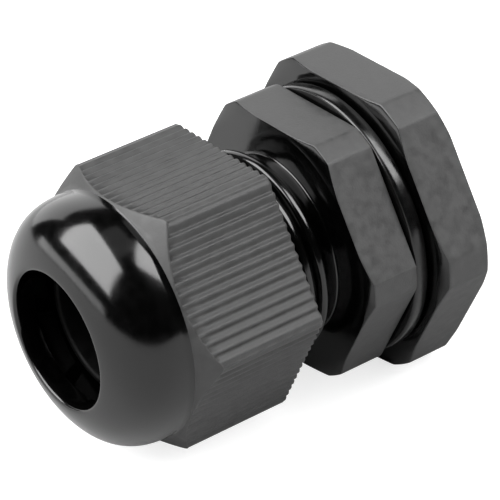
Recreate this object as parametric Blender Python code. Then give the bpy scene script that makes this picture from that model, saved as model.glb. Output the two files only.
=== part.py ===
"""Nylon cable gland, M20 x 1.5, lying on the flats of its lock nut.

Metres, +Z up. The gland's axis is level and runs along +X, from the domed sealing nut to the
lock nut. The origin is at the bottom centre of the whole gland's box.

Stations are distances along the axis from the front of the dome.
"""

import math

import bmesh
import bpy
from mathutils import Matrix, Vector

MM = 0.001

# Driving dimensions
THREAD_RADIUS = 9.75 * MM  # plain cylinder at mid height of the M20 thread
BORE_CLEARANCE = 0.3 * MM  # radial room between a plain thread and its nut
PIECE_GAP = 0.2 * MM  # between pieces that rest on each other
THREAD_LEAD = 0.6 * MM  # chamfer on the end of the entry thread
SMALL_EDGE = 0.3 * MM  # chamfer on outside edges
BORE_EDGE = 0.4 * MM  # chamfer at the mouth of a bore or the tip of the barrel
CUTTER_MARGIN = 1.0 * MM
CIRCLE_STEPS = 48
SHARP_ANGLE = math.radians(25)

# Stations of the faces
DOME_BASE = 6.5 * MM
NUT_HEX_FRONT = 8.2 * MM
NUT_REAR = 19.4 * MM
BARREL_FRONT = 12.0 * MM
FLANGE_FRONT = 24.9 * MM
FLANGE_REAR = 30.2 * MM
GASKET_THICKNESS = 1.5 * MM
LOCK_NUT_THICKNESS = 5.4 * MM
THREAD_END = 39.7 * MM

# Sealing nut
NUT_ACROSS_FLATS = 24.0 * MM
NUT_CORNER_RADIUS = 13.75 * MM
DOME_LIP_RADIUS = 6.9 * MM
DOME_BASE_RADIUS = 11.9 * MM
DOME_FRONT_POWER = 0.68  # below 1 keeps the front of the dome flat for longer
DOME_SIDE_POWER = 1.45  # above 1 pulls the dome in towards the hole
DOME_STEPS = 9
HOLE_RADIUS = 6.6 * MM
LIP_DEPTH = 0.6 * MM  # the rounded lip of the hole ends here
SHOULDER = 2.2 * MM  # inside face of the dome, behind the hole
CONE_FRONT = 2.6 * MM
CONE_FRONT_RADIUS = 8.0 * MM
CONE_SLOPE = 0.39  # radius gained for each length along the axis

# Flange and lock nut
FLANGE_ACROSS_FLATS = 24.6 * MM
FLANGE_CORNER_RADIUS = 13.6 * MM
LOCK_NUT_ACROSS_FLATS = 28.0 * MM
LOCK_NUT_CORNER_RADIUS = 15.4 * MM
LOCK_NUT_CHAMFER = 0.9 * MM
FACE_CHAMFER = 1.1 * MM  # radial depth of the turned edge on both front faces
FACE_CHAMFER_LENGTH = 0.45 * MM
GASKET_RADIUS = 13.2 * MM

# Inside
POCKET_RADIUS = 7.75 * MM  # bore of the barrel around the seal
POCKET_REAR = 18.6 * MM
ENTRY_BORE_RADIUS = 7.2 * MM
SEAL_FRONT = 4.2 * MM
SEAL_REAR = 15.0 * MM
SEAL_BORE_RADIUS = 6.0 * MM
SEAL_RADIUS = 7.4 * MM
SEAL_LIP_RADIUS = 6.65 * MM
SEAL_TAPER_END = 8.6 * MM

# Clamping fingers around the seal
FINGER_COUNT = 10
FINGER_TIP = 6.0 * MM
FINGER_TIP_RADIUS = 8.5 * MM
FINGER_CHAMFER_END = 7.7 * MM
FINGER_OUTER_RADIUS = 9.15 * MM
FINGER_INNER_RADIUS = POCKET_RADIUS
FINGER_ROOT_GAP = 0.3 * MM
FINGER_SLOT = 1.0 * MM
FINGER_ARC_STEPS = 4

FINGER_ROOT = BARREL_FRONT - FINGER_ROOT_GAP
GASKET_FRONT = FLANGE_REAR + PIECE_GAP
GASKET_REAR = GASKET_FRONT + GASKET_THICKNESS
LOCK_NUT_FRONT = GASKET_REAR + PIECE_GAP
LOCK_NUT_REAR = LOCK_NUT_FRONT + LOCK_NUT_THICKNESS
AXIS_HEIGHT = LOCK_NUT_ACROSS_FLATS / 2
MIDDLE = THREAD_END / 2
HEX_CORNERS = 6


def clear_scene():
    for obj in list(bpy.data.objects):
        bpy.data.objects.remove(obj, do_unlink=True)


def material(name, color, roughness):
    made = bpy.data.materials.new(name)
    made.use_nodes = True
    shader = made.node_tree.nodes["Principled BSDF"]
    shader.inputs["Base Color"].default_value = (*color, 1.0)
    shader.inputs["Roughness"].default_value = roughness
    return made


def around(station, radius, angle):
    """The point at this station and radius, at an angle from +Y towards +Z around the axis."""
    return Vector((station, radius * math.cos(angle), radius * math.sin(angle)))


def turned_mesh(name, profile, steps=CIRCLE_STEPS):
    """A closed profile of (station, radius) points turned round the axis."""
    shape = bmesh.new()
    rings = []
    for step in range(steps):
        angle = 2 * math.pi * (step + 0.5) / steps
        rings.append([shape.verts.new(around(station, radius, angle)) for station, radius in profile])
    for step in range(steps):
        ring = rings[step]
        following = rings[(step + 1) % steps]
        for point in range(len(profile)):
            after = (point + 1) % len(profile)
            shape.faces.new((ring[point], ring[after], following[after], following[point]))
    return finished_mesh(name, shape)


def hex_mesh(name, across_flats, front, rear):
    """A hexagonal bar along the axis, with one flat facing up and one facing down."""
    shape = bmesh.new()
    radius = across_flats / 2 / math.cos(math.pi / HEX_CORNERS)
    angles = [2 * math.pi * corner / HEX_CORNERS for corner in range(HEX_CORNERS)]
    ends = []
    for station in (front, rear):
        ends.append([shape.verts.new(around(station, radius, angle)) for angle in angles])
    for end in ends:
        shape.faces.new(end)
    for corner in range(HEX_CORNERS):
        after = (corner + 1) % HEX_CORNERS
        shape.faces.new((ends[0][corner], ends[0][after], ends[1][after], ends[1][corner]))
    return finished_mesh(name, shape)


def finished_mesh(name, shape):
    bmesh.ops.recalc_face_normals(shape, faces=shape.faces)
    mesh = bpy.data.meshes.new(name)
    shape.to_mesh(mesh)
    shape.free()
    mesh.shade_smooth()
    mesh.set_sharp_from_angle(angle=SHARP_ANGLE)
    return mesh


def place(name, mesh, origin, axis_empty, look):
    """An object whose origin is at this point of the axis frame, with its mesh moved to match."""
    mesh.transform(Matrix.Translation(-origin))
    obj = bpy.data.objects.new(name, mesh)
    bpy.context.collection.objects.link(obj)
    obj.parent = axis_empty
    obj.location = origin
    if look:
        obj.data.materials.append(look)
    return obj


def cut_to_hex(obj, across_flats, origin, axis_empty):
    """Keeps what lies inside a hexagonal bar, so that turned corners stay round."""
    bar_mesh = hex_mesh(f"{obj.name}_bar", across_flats, -CUTTER_MARGIN, THREAD_END + CUTTER_MARGIN)
    bar = place(f"{obj.name}_bar", bar_mesh, origin, axis_empty, None)
    bar.hide_render = True
    bar.display_type = "WIRE"
    flats = obj.modifiers.new("flats", "BOOLEAN")
    flats.operation = "INTERSECT"
    flats.solver = "EXACT"
    flats.object = bar


def dome_profile():
    """The dome from its lip at the hole to its base, one quarter of a rounded square."""
    points = []
    for step in range(DOME_STEPS + 1):
        turn = math.pi / 2 * step / DOME_STEPS
        station = DOME_BASE * (1 - math.cos(turn) ** DOME_FRONT_POWER)
        radius = DOME_LIP_RADIUS + (DOME_BASE_RADIUS - DOME_LIP_RADIUS) * math.sin(turn) ** DOME_SIDE_POWER
        points.append((station, radius))
    return points


def make_sealing_nut(axis_empty):
    bore = THREAD_RADIUS + BORE_CLEARANCE
    cone_rear = CONE_FRONT + (bore - CONE_FRONT_RADIUS) / CONE_SLOPE
    profile = dome_profile()
    profile += [
        (NUT_HEX_FRONT, NUT_CORNER_RADIUS),
        (NUT_REAR - SMALL_EDGE, NUT_CORNER_RADIUS),
        (NUT_REAR, NUT_CORNER_RADIUS - SMALL_EDGE),
        (NUT_REAR, bore + BORE_EDGE),
        (NUT_REAR - BORE_EDGE, bore),
        (cone_rear, bore),
        (CONE_FRONT, CONE_FRONT_RADIUS),
        (SHOULDER, CONE_FRONT_RADIUS - SMALL_EDGE),
        (SHOULDER, HOLE_RADIUS),
        (LIP_DEPTH, HOLE_RADIUS),
    ]
    origin = Vector((NUT_REAR, 0, 0))
    look = material("sealing_nut_nylon", (0.012, 0.012, 0.013), 0.35)
    nut = place("sealing_nut", turned_mesh("sealing_nut", profile), origin, axis_empty, look)
    cut_to_hex(nut, NUT_ACROSS_FLATS, origin, axis_empty)


def make_body(axis_empty):
    profile = [
        (BARREL_FRONT, POCKET_RADIUS),
        (BARREL_FRONT, THREAD_RADIUS - BORE_EDGE),
        (BARREL_FRONT + BORE_EDGE, THREAD_RADIUS),
        (FLANGE_FRONT, THREAD_RADIUS),
        (FLANGE_FRONT, FLANGE_CORNER_RADIUS - FACE_CHAMFER),
        (FLANGE_FRONT + FACE_CHAMFER_LENGTH, FLANGE_CORNER_RADIUS),
        (FLANGE_REAR, FLANGE_CORNER_RADIUS),
        (FLANGE_REAR, THREAD_RADIUS),
        (THREAD_END - THREAD_LEAD, THREAD_RADIUS),
        (THREAD_END, THREAD_RADIUS - THREAD_LEAD),
        (THREAD_END, ENTRY_BORE_RADIUS),
        (POCKET_REAR, ENTRY_BORE_RADIUS),
        (POCKET_REAR, POCKET_RADIUS),
    ]
    origin = Vector((FLANGE_REAR, 0, 0))
    look = material("body_nylon", (0.012, 0.012, 0.013), 0.4)
    body = place("body", turned_mesh("body", profile), origin, axis_empty, look)
    cut_to_hex(body, FLANGE_ACROSS_FLATS, origin, axis_empty)


def make_lock_nut(axis_empty):
    bore = THREAD_RADIUS + BORE_CLEARANCE
    profile = [
        (LOCK_NUT_FRONT, bore + BORE_EDGE),
        (LOCK_NUT_FRONT, LOCK_NUT_CORNER_RADIUS - FACE_CHAMFER),
        (LOCK_NUT_FRONT + FACE_CHAMFER_LENGTH, LOCK_NUT_CORNER_RADIUS),
        (LOCK_NUT_REAR - LOCK_NUT_CHAMFER / 2, LOCK_NUT_CORNER_RADIUS),
        (LOCK_NUT_REAR, LOCK_NUT_CORNER_RADIUS - LOCK_NUT_CHAMFER),
        (LOCK_NUT_REAR, bore + BORE_EDGE),
        (LOCK_NUT_REAR - BORE_EDGE, bore),
        (LOCK_NUT_FRONT + BORE_EDGE, bore),
    ]
    origin = Vector((LOCK_NUT_FRONT, 0, 0))
    look = material("lock_nut_nylon", (0.013, 0.013, 0.014), 0.4)
    nut = place("lock_nut", turned_mesh("lock_nut", profile), origin, axis_empty, look)
    cut_to_hex(nut, LOCK_NUT_ACROSS_FLATS, origin, axis_empty)


def make_gasket(axis_empty):
    bore = THREAD_RADIUS + BORE_CLEARANCE
    profile = [
        (GASKET_FRONT, bore),
        (GASKET_FRONT, GASKET_RADIUS - SMALL_EDGE),
        (GASKET_FRONT + SMALL_EDGE, GASKET_RADIUS),
        (GASKET_REAR - SMALL_EDGE, GASKET_RADIUS),
        (GASKET_REAR, GASKET_RADIUS - SMALL_EDGE),
        (GASKET_REAR, bore),
    ]
    look = material("gasket_rubber", (0.02, 0.02, 0.02), 0.3)
    place("gasket", turned_mesh("gasket", profile), Vector((GASKET_FRONT, 0, 0)), axis_empty, look)


def make_seal(axis_empty):
    profile = [
        (SEAL_FRONT, SEAL_BORE_RADIUS + BORE_EDGE),
        (SEAL_FRONT, SEAL_LIP_RADIUS),
        (SEAL_TAPER_END, SEAL_RADIUS),
        (SEAL_REAR - BORE_EDGE, SEAL_RADIUS),
        (SEAL_REAR, SEAL_RADIUS - BORE_EDGE),
        (SEAL_REAR, SEAL_BORE_RADIUS + BORE_EDGE),
        (SEAL_REAR - BORE_EDGE, SEAL_BORE_RADIUS),
        (SEAL_FRONT + BORE_EDGE, SEAL_BORE_RADIUS),
    ]
    look = material("seal_rubber", (0.02, 0.02, 0.02), 0.5)
    place("seal", turned_mesh("seal", profile), Vector((SEAL_REAR, 0, 0)), axis_empty, look)


def finger_mesh(name):
    """A finger lying along +Y from the axis, between two slots with parallel sides."""
    profile = [
        (FINGER_TIP, FINGER_INNER_RADIUS),
        (FINGER_TIP, FINGER_TIP_RADIUS),
        (FINGER_CHAMFER_END, FINGER_OUTER_RADIUS),
        (FINGER_ROOT, FINGER_OUTER_RADIUS),
        (FINGER_ROOT, FINGER_INNER_RADIUS),
    ]
    shape = bmesh.new()
    slices = []
    for step in range(FINGER_ARC_STEPS + 1):
        side = 2 * step / FINGER_ARC_STEPS - 1
        points = []
        for station, radius in profile:
            half_angle = math.pi / FINGER_COUNT - math.asin(FINGER_SLOT / 2 / radius)
            points.append(shape.verts.new(around(station, radius, side * half_angle)))
        slices.append(points)
    for low, high in zip(slices, slices[1:]):
        for point in range(len(profile)):
            after = (point + 1) % len(profile)
            shape.faces.new((low[point], low[after], high[after], high[point]))
    shape.faces.new(slices[0])
    shape.faces.new(slices[-1])
    return finished_mesh(name, shape)


def make_fingers(axis_empty):
    """Each finger has its origin on the thin hinge line where it bends."""
    hinge = Vector((FINGER_ROOT, (FINGER_INNER_RADIUS + FINGER_OUTER_RADIUS) / 2, 0))
    look = material("finger_nylon", (0.012, 0.012, 0.013), 0.4)
    mesh = finger_mesh("finger")
    mesh.transform(Matrix.Translation(-hinge))
    mesh.materials.append(look)
    for number in range(FINGER_COUNT):
        angle = 2 * math.pi * number / FINGER_COUNT
        finger = bpy.data.objects.new(f"finger_{number + 1:02d}", mesh)
        bpy.context.collection.objects.link(finger)
        finger.parent = axis_empty
        finger.rotation_euler = (angle, 0, 0)
        finger.location = Matrix.Rotation(angle, 3, "X") @ hinge


def main():
    clear_scene()
    axis_empty = bpy.data.objects.new("gland_axis", None)
    bpy.context.collection.objects.link(axis_empty)
    axis_empty.location = (-MIDDLE, 0, AXIS_HEIGHT)
    make_sealing_nut(axis_empty)
    make_body(axis_empty)
    make_fingers(axis_empty)
    make_seal(axis_empty)
    make_gasket(axis_empty)
    make_lock_nut(axis_empty)
    bpy.context.view_layer.update()


main()
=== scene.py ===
"""A black nylon cable gland on a pale floor: fine geometry, materials, lights and camera.

Metres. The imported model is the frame: the gland's axis is level and runs along +X, from the
domed sealing nut to the lock nut. Stations are distances along the axis from the front of the
dome, and angles around it run from +Y towards +Z.
"""

import math

import bmesh
import bpy
from mathutils import Matrix, Vector

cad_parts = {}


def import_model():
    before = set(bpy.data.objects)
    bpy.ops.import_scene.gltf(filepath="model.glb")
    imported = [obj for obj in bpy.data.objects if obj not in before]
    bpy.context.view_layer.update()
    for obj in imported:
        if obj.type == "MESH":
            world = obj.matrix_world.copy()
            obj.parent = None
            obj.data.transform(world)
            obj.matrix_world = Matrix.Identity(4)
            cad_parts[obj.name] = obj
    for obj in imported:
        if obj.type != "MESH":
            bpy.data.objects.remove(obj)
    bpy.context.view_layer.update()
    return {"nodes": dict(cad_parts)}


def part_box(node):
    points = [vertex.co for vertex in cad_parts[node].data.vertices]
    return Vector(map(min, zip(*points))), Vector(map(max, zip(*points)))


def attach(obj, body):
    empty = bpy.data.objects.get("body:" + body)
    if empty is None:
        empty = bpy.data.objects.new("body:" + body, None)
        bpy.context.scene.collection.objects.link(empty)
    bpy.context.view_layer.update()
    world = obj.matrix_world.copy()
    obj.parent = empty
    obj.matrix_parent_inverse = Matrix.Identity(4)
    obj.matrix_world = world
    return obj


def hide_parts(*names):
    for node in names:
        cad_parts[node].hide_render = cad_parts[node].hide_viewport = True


MM = 0.001
FINGER_COUNT = 10

# Hexagons: flats face up, down and 60 degrees to each side
HEX_SIDES = 6
FIRST_FLAT = math.radians(30)
BLEND = 0.1 * MM  # rounding where a flat meets a turned surface
FLAT_STEPS = 24
CORNER_STEPS = 8
CROWDING = 0.1 * MM  # extra points this far and twice as far from the ends of flats and corners
CLEAR_OF_CROWD = 2.5  # crowding margins, from an end to the first of the other points
EDGE_SHARES = (0, 0.25, 0.5, 0.75, 1)  # steps round a rounded edge
FRONT_FACE_SHARES = (0.3, 0.6, 0.85)  # rings on an end face, as shares of the way across it
REAR_FACE_SHARES = (0.15, 0.4, 0.7)
NUT_SIDE_STEPS = 8

# Threads
PITCH = 1.5 * MM
THREAD_CREST = 9.95 * MM
THREAD_ROOT = 9.05 * MM
CREST_POWER = 3.0  # above 2 flattens the crests and keeps the roots sharp
THREAD_STOP = 23.05 * MM  # an undercut parts the thread from the flange
THREAD_RUNOUT = 0.2 * MM
UNDERCUT_RADIUS = 8.7 * MM
RINGS_PER_TURN = 24
CREST_STATION = 22.5 * MM  # a crest passes here at the angle below
CREST_ANGLE = math.radians(144)
NUT_BORE = 10.04 * MM
BORE_EDGE = 0.4 * MM
SHARP_EDGE = 0.1 * MM  # chamfer where an edge only looks sharp

# Sealing nut
DOME_LENGTH = 6.5 * MM
DOME_FRONT_POWER = 0.68
DOME_SIDE_POWER = 1.45
DOME_LIP = 6.9 * MM
DOME_BASE = 11.9 * MM
DOME_STEPS = 44
HOLE_RADIUS = 6.6 * MM
LIP_MARGIN = 0.4 * MM  # plain hole behind the rounded lip
SHOULDER = 2.2 * MM
SEAT_FRONT = 7.7 * MM
SEAT_REAR = 8.0 * MM
SEAT_SLOPE = 0.39
CONE_SLOPE = 1.1  # of the satin cone between the dome and the hexagon
CONE_SHARES = (0.3, 0.6, 1.0)  # rings along the cone
CONE_EDGE_LIMIT = 0.8  # the most of the cone's length that its rounded edge takes up
CONE_EDGE = 0.1 * MM
NUT_CORNER = 13.75 * MM
NUT_EDGE = 0.28 * MM
RIB_PITCH = 0.97 * MM
WHOLE_GROOVES = 6.5 * RIB_PITCH  # to each side of a flat's middle
GROOVE_DEPTH = 0.25 * MM
GROOVE_END = 0.08 * MM
NUT_FLAT_STEPS = 164

# Body
FLANGE_FRONT = 24.9 * MM
FLANGE_CORNER = 13.6 * MM
FLANGE_EDGE = 0.12 * MM
FLANGE_FILLET = 0.2 * MM
PARTING_RIDGE = 0.05 * MM  # moulding flash along two opposite corners
PIECE_GAP = 0.2 * MM
BODY_BORE = 7.2 * MM
POCKET_BORE = 7.75 * MM
POCKET_REAR = 18.6 * MM
MOUTH_EDGE = 0.5 * MM  # rounding of the bore's rear mouth
MOUTH_BEND = 0.15 * MM
FLANGE_SIDE_STEPS = 6
FLANGE_REAR_SHARES = (0.2, 0.6, 1.0)
FRONT_LEAD = 0.6 * MM  # each thread's lead-in towards the dome
REAR_LEAD = 0.7 * MM  # the rear thread's lead-in at its free end
REAR_NECK = 0.4 * MM  # plain neck behind the flange
NECK_RADIUS = 9.2 * MM

# Lock nut
LOCK_CORNER = 15.4 * MM
LOCK_EDGE = 0.15 * MM
REAR_CHAMFER = 0.9 * MM
REAR_CHAMFER_SLOPE = 0.5

# Turned chamfer on the front faces of flange and lock nut
FACE_CHAMFER = 1.1 * MM
FACE_CHAMFER_SLOPE = 0.41

# Gasket and seal
GASKET_RADIUS = 13.2 * MM
GASKET_EDGE = 0.7 * MM
GASKET_SQUARENESS = 0.45  # 1 is an elliptic edge, and less is squarer
GASKET_STEPS = 180
GASKET_EDGE_STEPS = 32
SEAL_STEPS = 160
SEAL_BORE = 6.0 * MM
SEAL_LIP = 6.65 * MM
SEAL_RADIUS = 7.4 * MM
SEAL_TAPER = 4.4 * MM
SEAL_EDGE = 0.35 * MM

# Looks: darkest and lightest grey, least and most rough, depth of grain, index of refraction
LOOKS = {
    "nylon_gloss": (0.0004, 0.0009, 0.12, 0.17, 0.001 * MM, 1.5),
    "nylon_satin": (0.019, 0.031, 0.46, 0.62, 0.014 * MM, 1.5),
    "rubber": (0.001, 0.002, 0.16, 0.26, 0.003 * MM, 1.5),
    "matt_rubber": (0.0004, 0.0009, 0.5, 0.7, 0.006 * MM, 1.2),
}
MOTTLE_SCALE = 1100
MOTTLE_DETAIL = 6
GRAIN_SCALE = 5000
GRAIN_DETAIL = 3
TINT_SPAN = (0.35, 0.65)  # part of the mottle's range that the greys are spread over
SHEEN_SPAN = (0.3, 0.7)  # and the roughness

# Lights: azimuth and elevation, degrees across and up, all seen from the gland, and radiance
LIGHTS = {
    "left_softbox": (160, 50, 58, 54, 8.7),
    "right_softbox": (-40, 52, 27, 34, 8.7),
    "rear_panel": (62, 16, 80, 50, 2.0),
    "overhead_panel": (90, 88, 40, 30, 0.5),
    "low_panel": (148, 4, 60, 8, 3.0),
    "right_fill": (-50, 14, 60, 50, 5.5),
}
UNREFLECTED = "right_fill"
LIGHT_DISTANCE = 0.6
STRAY_LIGHT = 0.01  # from the surroundings, everywhere but in the camera's own view

# Floor
FLOOR_REACH = 2.0
FLOOR_DROP = 0.02 * MM
FLOOR_GREY = 0.4
FLOOR_ROUGHNESS = 0.9
FLOOR_GLOW = 0.75  # the floor is lit from below like a light table, but only as the camera sees it

# View
SENSOR_WIDTH = 36.0
LENS = 216.0
CLIP_START = 0.01
VIEW_AZIMUTH = math.radians(-34.81)
VIEW_ELEVATION = math.radians(31.01)
VIEW_ROLL = math.radians(-4.35)
VIEW_DISTANCE = 274.83 * MM
VIEW_TARGET = Vector((1.41, -0.42, 14.77)) * MM


def smooth_min(first, second, width=BLEND):
    """The lesser of two radii, with the crease between them rounded."""
    overlap = max(width - abs(first - second), 0) / width
    return min(first, second) - overlap * overlap * width / 4


def spread(first, last, steps):
    return [first + (last - first) * step / steps for step in range(steps + 1)]


def crowded(first, last, steps, margin):
    """As spread, with two more points near each end, and none of its own too close to them."""
    clear = CLEAR_OF_CROWD * margin
    middle = [value for value in spread(first, last, steps) if min(value - first, last - value) > clear]
    return [first, first + margin, first + 2 * margin] + middle + [last - 2 * margin, last - margin, last]


def hex_angles(apothem, corner, flat_steps):
    """Angles once round a hexagon with turned corners, with one at each edge of every flat."""
    half = math.acos(apothem / corner)
    reach = apothem * math.tan(half)
    angles = []
    for side in range(HEX_SIDES):
        middle = FIRST_FLAT + side * 2 * math.pi / HEX_SIDES
        for across in crowded(-reach, reach, flat_steps, CROWDING)[:-1]:
            angles.append(middle + math.atan2(across, apothem))
        following = middle + 2 * math.pi / HEX_SIDES
        margin = min(CROWDING / corner, (math.pi / HEX_SIDES - half) / 4)
        angles += crowded(middle + half, following - half, CORNER_STEPS, margin)[:-1]
    return angles


def groove(across):
    """Depth of the ribbed flat at this distance from its middle."""
    depth = GROOVE_DEPTH if abs(across) < WHOLE_GROOVES else GROOVE_DEPTH / 2
    return depth * (0.5 + 0.5 * math.cos(2 * math.pi * across / RIB_PITCH))


def hex_radii(apothem, corner, angles, ribbed=False):
    radii = []
    for angle in angles:
        off = (angle - FIRST_FLAT + math.pi / HEX_SIDES) % (2 * math.pi / HEX_SIDES) - math.pi / HEX_SIDES
        depth = groove(apothem * math.tan(off)) if ribbed else 0
        radii.append(smooth_min((apothem - depth) / math.cos(off), corner))
    return radii


def even(radius, angles):
    return [radius for _ in angles]


def inset(outline, depth):
    return [limit - depth for limit in outline]


def between(outer, inner, share):
    return [far + (near - far) * share for far, near in zip(outer, inner)]


def quarter(edge, steps=5):
    """(along, in) pairs of a rounded edge, from the side surface to the end face."""
    turns = [math.pi / 2 * step / steps for step in range(1, steps + 1)]
    return [(edge * math.sin(turn), edge * (1 - math.cos(turn))) for turn in turns]


def thread_radius(station, angle):
    """Radius of the male thread: a right-hand helix with rounded crests and sharp roots."""
    turns = (station - CREST_STATION) / PITCH - (angle - CREST_ANGLE) / (2 * math.pi)
    away = abs((turns + 0.5) % 1 - 0.5) * 2
    return THREAD_ROOT + (THREAD_CREST - THREAD_ROOT) * (1 - away**CREST_POWER)


def thread_rings(first, last, angles, front_lead, rear_lead):
    """Rings of a thread that runs out over these lengths at its two ends."""
    rings = []
    for station in spread(first, last, round((last - first) / PITCH * RINGS_PER_TURN)):
        front = NECK_RADIUS + (station - first) / front_lead * (THREAD_CREST - NECK_RADIUS)
        rear = NECK_RADIUS + (last - station) / rear_lead * (THREAD_CREST - NECK_RADIUS)
        limit = min(front, rear)
        rings.append((station, [min(thread_radius(station, angle), limit) for angle in angles]))
    return rings


def lathe(name, rings, angles, looks, satin_rings=()):
    """A closed surface through rings of (station, radii), the last ring joined to the first.

    The faces behind the satin rings have the second look, and the others the first.
    """
    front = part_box("sealing_nut")[0].x
    height = (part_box("lock_nut")[0].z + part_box("lock_nut")[1].z) / 2
    points = []
    for station, radii in rings:
        stations = station if isinstance(station, list) else even(station, angles)
        for along, radius, angle in zip(stations, radii, angles):
            points.append((front + along, radius * math.cos(angle), height + radius * math.sin(angle)))
    count = len(angles)
    faces = []
    kinds = []
    for ring in range(len(rings)):
        after = (ring + 1) % len(rings)
        for step in range(count):
            beside = (step + 1) % count
            faces.append(
                (ring * count + step, after * count + step, after * count + beside, ring * count + beside)
            )
            kinds.append(1 if ring in satin_rings else 0)
    mesh = bpy.data.meshes.new(name)
    mesh.from_pydata(points, [], faces)
    for look in looks:
        mesh.materials.append(look)
    mesh.polygons.foreach_set("material_index", kinds)
    shape = bmesh.new()
    shape.from_mesh(mesh)
    bmesh.ops.recalc_face_normals(shape, faces=shape.faces)
    shape.to_mesh(mesh)
    shape.free()
    mesh.shade_smooth()
    piece = bpy.data.objects.new(name, mesh)
    bpy.context.collection.objects.link(piece)
    return piece


def stand_for(piece, node):
    """The piece is shown in place of the CAD node and rides on its body, which has its name."""
    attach(piece, node)
    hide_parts(node)


def station_range(node):
    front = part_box("sealing_nut")[0].x
    low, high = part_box(node)
    return low.x - front, high.x - front


def dome_point(turn):
    station = DOME_LENGTH * (1 - math.cos(turn) ** DOME_FRONT_POWER)
    radius = DOME_LIP + (DOME_BASE - DOME_LIP) * math.sin(turn) ** DOME_SIDE_POWER
    return station, radius


def cone_rings(outline):
    """The cone from the dome out to the hexagon, and the rounded edge where they meet."""
    meeting = [DOME_LENGTH + (limit - DOME_BASE) / CONE_SLOPE for limit in outline]
    start = even(DOME_LENGTH, outline)
    edges = [min(CONE_EDGE, CONE_EDGE_LIMIT * (station - DOME_LENGTH)) for station in meeting]
    before = [station - edge for station, edge in zip(meeting, edges)]
    after = [station + edge for station, edge in zip(meeting, edges)]
    inner = [limit - edge * CONE_SLOPE for limit, edge in zip(outline, edges)]
    rings = []
    for share in CONE_SHARES:
        rings.append((between(start, before, share), between(even(DOME_BASE, outline), inner, share)))
    for share in EDGE_SHARES[1:]:
        stations = between(between(before, meeting, share), between(meeting, after, share), share)
        rings.append((stations, between(between(inner, outline, share), outline, share)))
    return rings


def face_edge(face, inward, outline, chamfer, slope, edge):
    """Rings from an end face, over a turned chamfer and a rounded edge, to a hexagon's side."""
    face_radius = max(outline) - chamfer

    def set_back(limit):
        return face + inward * max(limit - face_radius, 0) * slope

    rings = [(even(face, outline), [min(limit - 2 * edge, face_radius) for limit in outline])]
    inner = inset(outline, edge)
    before = [set_back(limit) for limit in inner]
    corner = [set_back(limit) for limit in outline]
    after = [station + inward * edge for station in corner]
    for share in EDGE_SHARES:
        stations = between(between(before, corner, share), between(corner, after, share), share)
        rings.append((stations, between(between(inner, outline, share), outline, share)))
    return rings


def bore_rings(front, rear, angles):
    """A plain bore with chamfered mouths, from its rear to its front."""
    return [
        (rear, even(NUT_BORE + BORE_EDGE, angles)),
        (rear - BORE_EDGE, even(NUT_BORE, angles)),
        (front + BORE_EDGE, even(NUT_BORE, angles)),
        (front, even(NUT_BORE + BORE_EDGE, angles)),
    ]


def make_sealing_nut(looks):
    """The domed nut. Its dome is glossy, and its ribbed flats and their corners are satin."""
    low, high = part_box("sealing_nut")
    apothem = (high.z - low.z) / 2
    rear = station_range("sealing_nut")[1]
    angles = hex_angles(apothem, NUT_CORNER, NUT_FLAT_STEPS)
    plain = hex_radii(apothem, NUT_CORNER, angles)
    ribbed = hex_radii(apothem, NUT_CORNER, angles, ribbed=True)
    lip = DOME_LIP - HOLE_RADIUS
    rings = [(lip - along, even(HOLE_RADIUS + depth, angles)) for along, depth in quarter(lip)]
    for turn in spread(0, math.pi / 2, DOME_STEPS)[1:]:
        station, radius = dome_point(turn)
        rings.append((station, even(radius, angles)))
    dome_end = len(rings)
    rings += cone_rings(plain)
    groove_front = [station + GROOVE_END for station in rings[-1][0]]
    rings.append((groove_front, ribbed))
    side_front = max(groove_front) + GROOVE_END
    for station in spread(side_front, rear - NUT_EDGE, NUT_SIDE_STEPS):
        rings.append((station, ribbed))
    for along, depth in quarter(NUT_EDGE):
        rings.append((rear - NUT_EDGE + along, inset(ribbed, depth)))
    rear_face = len(rings)
    bore = even(NUT_BORE + BORE_EDGE, angles)
    rings += [(rear, between(rings[-1][1], bore, share)) for share in REAR_FACE_SHARES]
    cone_front = SHOULDER + BORE_EDGE
    rings += [
        (rear, bore),
        (rear - BORE_EDGE, even(NUT_BORE, angles)),
        (cone_front + (NUT_BORE - SEAT_REAR) / SEAT_SLOPE, even(NUT_BORE, angles)),
        (cone_front, even(SEAT_REAR, angles)),
        (SHOULDER, even(SEAT_FRONT, angles)),
        (SHOULDER, even(HOLE_RADIUS + SHARP_EDGE, angles)),
        (SHOULDER - SHARP_EDGE, even(HOLE_RADIUS, angles)),
        (lip + LIP_MARGIN, even(HOLE_RADIUS, angles)),
    ]

    nut = lathe("ribbed_sealing_nut", rings, angles, looks, range(dome_end - 1, rear_face))
    stand_for(nut, "sealing_nut")


def with_parting_line(outline, angles, apothem):
    """The outline with a thin ridge of flash beside two opposite corners."""
    half = math.acos(apothem / FLANGE_CORNER)
    middles = (FIRST_FLAT + 2 * math.pi / 3, FIRST_FLAT + 5 * math.pi / 3)
    places = []
    for middle in middles:
        places.append(min(range(len(angles)), key=lambda step: abs(angles[step] - middle - half)))
    return [limit + (PARTING_RIDGE if step in places else 0) for step, limit in enumerate(outline)]


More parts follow.
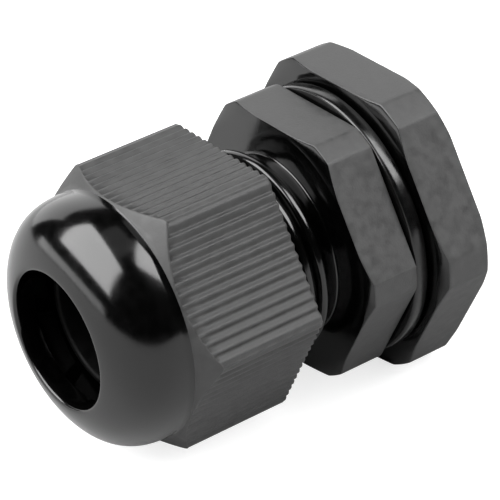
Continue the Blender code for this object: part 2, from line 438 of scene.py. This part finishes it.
def make_body(looks):
    """Flange and both threads. The barrel ahead of the flange runs on inside the sealing nut.

    The flange's flats and corners are satin, and the rest is glossy.
    """
    front, rear = station_range("body")
    flange_rear = station_range("gasket")[0] - PIECE_GAP
    low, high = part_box("body")
    apothem = (high.z - low.z) / 2
    angles = hex_angles(apothem, FLANGE_CORNER, FLAT_STEPS)
    outline = with_parting_line(hex_radii(apothem, FLANGE_CORNER, angles), angles, apothem)
    neck = even(NECK_RADIUS, angles)
    rings = [(front, even(POCKET_BORE, angles)), (front, even(NECK_RADIUS - SHARP_EDGE, angles))]
    rings += thread_rings(front + SHARP_EDGE, THREAD_STOP, angles, FRONT_LEAD, THREAD_RUNOUT)
    rings += [(THREAD_STOP + THREAD_RUNOUT, even(UNDERCUT_RADIUS, angles))]
    for along, depth in reversed(quarter(FLANGE_FILLET)):
        rings.append((FLANGE_FRONT - depth, even(UNDERCUT_RADIUS + FLANGE_FILLET - along, angles)))
    inner = even(UNDERCUT_RADIUS + FLANGE_FILLET, angles)
    face = face_edge(FLANGE_FRONT, 1, outline, FACE_CHAMFER, FACE_CHAMFER_SLOPE, FLANGE_EDGE)
    rings += [(FLANGE_FRONT, between(inner, face[0][1], share)) for share in (0, *FRONT_FACE_SHARES)]
    side_start = len(rings) + 2
    rings += face
    for station in spread(max(face[-1][0]) + FLANGE_EDGE, flange_rear - 2 * FLANGE_EDGE, FLANGE_SIDE_STEPS):
        rings.append((station, outline))
    for along, depth in quarter(FLANGE_EDGE):
        rings.append((flange_rear - FLANGE_EDGE + along, inset(outline, depth)))
    side_end = len(rings)
    edge = inset(outline, FLANGE_EDGE)
    rings += [(flange_rear, between(edge, neck, share)) for share in FLANGE_REAR_SHARES]
    rings += thread_rings(flange_rear + REAR_NECK, rear, angles, FRONT_LEAD, REAR_LEAD)
    rings += [
        (rear, even(BODY_BORE + MOUTH_EDGE, angles)),
        (rear - MOUTH_BEND, even(BODY_BORE + MOUTH_BEND, angles)),
        (rear - MOUTH_EDGE, even(BODY_BORE, angles)),
        (POCKET_REAR, even(BODY_BORE, angles)),
        (POCKET_REAR, even(POCKET_BORE, angles)),
    ]

    body = lathe("threaded_body", rings, angles, looks, range(side_start, side_end))
    stand_for(body, "body")


def make_lock_nut(looks):
    """The rear nut. Its flats, corners and rear chamfer are satin, and the rest is glossy."""
    front, rear = station_range("lock_nut")
    low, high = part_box("lock_nut")
    apothem = (high.z - low.z) / 2
    angles = hex_angles(apothem, LOCK_CORNER, FLAT_STEPS)
    outline = hex_radii(apothem, LOCK_CORNER, angles)
    bore = even(NUT_BORE + BORE_EDGE, angles)
    face = face_edge(front, 1, outline, FACE_CHAMFER, FACE_CHAMFER_SLOPE, LOCK_EDGE)
    back = face_edge(rear, -1, outline, REAR_CHAMFER, REAR_CHAMFER_SLOPE, LOCK_EDGE)[::-1]
    rings = [(front, between(bore, face[0][1], share)) for share in FRONT_FACE_SHARES]
    side_start = len(rings) + 2
    rings += face
    for station in spread(max(face[-1][0]) + LOCK_EDGE, min(back[0][0]) - LOCK_EDGE, NUT_SIDE_STEPS):
        rings.append((station, outline))
    rings += back
    side_end = len(rings)
    rings += [(rear, between(back[-1][1], bore, share)) for share in REAR_FACE_SHARES]
    rings += bore_rings(front, rear, angles)

    nut = lathe("hex_lock_nut", rings, angles, looks, range(side_start, side_end))
    stand_for(nut, "lock_nut")


def make_gasket(looks):
    """A rubber ring whose outer edge is a flat band between well rounded corners."""
    front, rear = station_range("gasket")
    angles = spread(0, 2 * math.pi, GASKET_STEPS)[:-1]
    face_radius = GASKET_RADIUS - GASKET_EDGE
    flat = [even(NUT_BORE, angles), even(face_radius - GASKET_EDGE, angles)]
    rings = [(front, radii) for radii in flat]
    half = (rear - front) / 2
    for turn in spread(0, math.pi, GASKET_EDGE_STEPS):
        swell = GASKET_EDGE * math.sin(turn) ** GASKET_SQUARENESS
        side = math.copysign(abs(math.cos(turn)) ** GASKET_SQUARENESS, math.cos(turn))
        rings.append((front + half * (1 - side), even(face_radius + swell, angles)))
    rings += [(rear, radii) for radii in reversed(flat)]
    stand_for(lathe("rubber_gasket", rings, angles, looks), "gasket")


def make_seal(looks):
    """The rubber sleeve round the cable, wider behind its front lip."""
    front, rear = station_range("seal")
    angles = spread(0, 2 * math.pi, SEAL_STEPS)[:-1]
    rings = []
    for along, depth in quarter(SEAL_EDGE):
        rings.append((front + SEAL_EDGE - along, even(SEAL_BORE + depth, angles)))
    rings += [
        (front, even(SEAL_LIP - SHARP_EDGE, angles)),
        (front + SHARP_EDGE, even(SEAL_LIP, angles)),
        (front + SEAL_TAPER, even(SEAL_RADIUS, angles)),
        (rear - SEAL_EDGE, even(SEAL_RADIUS, angles)),
        (rear, even(SEAL_RADIUS - SEAL_EDGE, angles)),
        (rear, even(SEAL_BORE + SEAL_EDGE, angles)),
        (rear - SEAL_EDGE, even(SEAL_BORE, angles)),
        (front + SEAL_EDGE, even(SEAL_BORE, angles)),
    ]
    stand_for(lathe("rubber_seal", rings, angles, looks), "seal")


def grey(level):
    return (level, level, level, 1)


def plastic(name, dark, light, rough_low, rough_high, grain, refraction):
    """Moulded black plastic or rubber: faint mottling, uneven sheen and a fine grain."""
    made = bpy.data.materials.new(name)
    made.use_nodes = True
    nodes = made.node_tree.nodes
    links = made.node_tree.links
    shader = nodes["Principled BSDF"]
    shader.inputs["IOR"].default_value = refraction
    where = nodes.new("ShaderNodeTexCoord")
    mottle = nodes.new("ShaderNodeTexNoise")
    mottle.inputs["Scale"].default_value = MOTTLE_SCALE
    mottle.inputs["Detail"].default_value = MOTTLE_DETAIL
    links.new(where.outputs["Object"], mottle.inputs["Vector"])
    tint = nodes.new("ShaderNodeValToRGB")
    for end, place, level in zip(tint.color_ramp.elements, TINT_SPAN, (dark, light)):
        end.position = place
        end.color = grey(level)
    links.new(mottle.outputs["Fac"], tint.inputs["Fac"])
    links.new(tint.outputs["Color"], shader.inputs["Base Color"])
    sheen = nodes.new("ShaderNodeMapRange")
    sheen.inputs["From Min"].default_value = SHEEN_SPAN[0]
    sheen.inputs["From Max"].default_value = SHEEN_SPAN[1]
    sheen.inputs["To Min"].default_value = rough_low
    sheen.inputs["To Max"].default_value = rough_high
    links.new(mottle.outputs["Fac"], sheen.inputs["Value"])
    links.new(sheen.outputs["Result"], shader.inputs["Roughness"])
    fine = nodes.new("ShaderNodeTexNoise")
    fine.inputs["Scale"].default_value = GRAIN_SCALE
    fine.inputs["Detail"].default_value = GRAIN_DETAIL
    links.new(where.outputs["Object"], fine.inputs["Vector"])
    bump = nodes.new("ShaderNodeBump")
    bump.inputs["Strength"].default_value = 1.0
    bump.inputs["Distance"].default_value = grain
    links.new(fine.outputs["Fac"], bump.inputs["Height"])
    links.new(bump.outputs["Normal"], shader.inputs["Normal"])
    return made


def look_at(obj, target):
    obj.rotation_euler = (target - obj.location).to_track_quat("-Z", "Y").to_euler()


def toward(azimuth, elevation):
    """Unit vector at this angle from +X towards +Y, and above the floor, in degrees."""
    turn = math.radians(azimuth)
    rise = math.radians(elevation)
    return Vector((math.cos(turn) * math.cos(rise), math.sin(turn) * math.cos(rise), math.sin(rise)))


def softbox(name, azimuth, elevation, wide, tall, radiance):
    """A rectangular light that fills this many degrees across and up, seen from the gland."""
    data = bpy.data.lights.new(name, "AREA")
    data.shape = "RECTANGLE"
    data.size = 2 * LIGHT_DISTANCE * math.tan(math.radians(wide) / 2)
    data.size_y = 2 * LIGHT_DISTANCE * math.tan(math.radians(tall) / 2)
    data.energy = radiance * math.pi * data.size * data.size_y
    lamp = bpy.data.objects.new(name, data)
    bpy.context.collection.objects.link(lamp)
    lamp.location = VIEW_TARGET + toward(azimuth, elevation) * LIGHT_DISTANCE
    look_at(lamp, VIEW_TARGET)
    lamp.visible_camera = False
    lamp.visible_glossy = name != UNREFLECTED


def make_world():
    """Pale to the camera, and dim for the light that reaches the gland."""
    world = bpy.data.worlds.new("studio")
    bpy.context.scene.world = world
    world.use_nodes = True
    nodes = world.node_tree.nodes
    links = world.node_tree.links
    dim = nodes["Background"]
    dim.inputs["Color"].default_value = grey(1)
    dim.inputs["Strength"].default_value = STRAY_LIGHT
    pale = nodes.new("ShaderNodeBackground")
    pale.inputs["Color"].default_value = grey(1)
    pale.inputs["Strength"].default_value = 1.0
    ray = nodes.new("ShaderNodeLightPath")
    mix = nodes.new("ShaderNodeMixShader")
    links.new(ray.outputs["Is Camera Ray"], mix.inputs["Fac"])
    links.new(dim.outputs["Background"], mix.inputs[1])
    links.new(pale.outputs["Background"], mix.inputs[2])
    links.new(mix.outputs["Shader"], nodes["World Output"].inputs["Surface"])


def make_floor():
    """Pale paper under the gland, which glows only as the camera sees it."""
    shape = bmesh.new()
    signs = [(-1, -1), (1, -1), (1, 1), (-1, 1)]
    shape.faces.new([shape.verts.new((x * FLOOR_REACH, y * FLOOR_REACH, 0)) for x, y in signs])
    mesh = bpy.data.meshes.new("floor")
    shape.to_mesh(mesh)
    shape.free()
    floor = bpy.data.objects.new("floor", mesh)
    bpy.context.collection.objects.link(floor)
    floor.location.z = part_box("lock_nut")[0].z - FLOOR_DROP
    made = bpy.data.materials.new("pale_paper")
    made.use_nodes = True
    shader = made.node_tree.nodes["Principled BSDF"]
    shader.inputs["Base Color"].default_value = grey(FLOOR_GREY)
    shader.inputs["Roughness"].default_value = FLOOR_ROUGHNESS
    shader.inputs["Emission Color"].default_value = grey(1)
    ray = made.node_tree.nodes.new("ShaderNodeLightPath")
    glow = made.node_tree.nodes.new("ShaderNodeMath")
    glow.operation = "MULTIPLY"
    glow.inputs[1].default_value = FLOOR_GLOW
    made.node_tree.links.new(ray.outputs["Is Camera Ray"], glow.inputs[0])
    made.node_tree.links.new(glow.outputs["Value"], shader.inputs["Emission Strength"])
    mesh.materials.append(made)


def make_camera():
    data = bpy.data.cameras.new("camera")
    data.sensor_width = SENSOR_WIDTH
    data.lens = LENS
    data.clip_start = CLIP_START
    camera = bpy.data.objects.new("camera", data)
    bpy.context.collection.objects.link(camera)
    turned = (
        Matrix.Rotation(VIEW_AZIMUTH, 4, "Z")
        @ Matrix.Rotation(math.pi / 2 - VIEW_ELEVATION, 4, "X")
        @ Matrix.Rotation(VIEW_ROLL, 4, "Z")
    )
    back = turned.to_3x3() @ Vector((0, 0, 1))
    camera.matrix_world = Matrix.Translation(VIEW_TARGET + back * VIEW_DISTANCE) @ turned
    bpy.context.scene.camera = camera


def main():
    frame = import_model()
    make_camera()
    looks = {name: plastic(name, *values) for name, values in LOOKS.items()}
    nylon = [looks["nylon_gloss"], looks["nylon_satin"]]
    make_sealing_nut(nylon)
    make_body(nylon)
    make_lock_nut(nylon)
    make_gasket([looks["rubber"]])
    make_seal([looks["matt_rubber"]])
    for number in range(1, FINGER_COUNT + 1):
        for slot in frame["nodes"][f"finger_{number:02d}"].material_slots:
            slot.material = looks["nylon_satin"]
    make_floor()
    for name, values in LIGHTS.items():
        softbox(name, *values)
    make_world()
    bpy.context.scene.view_settings.view_transform = "Standard"


main()
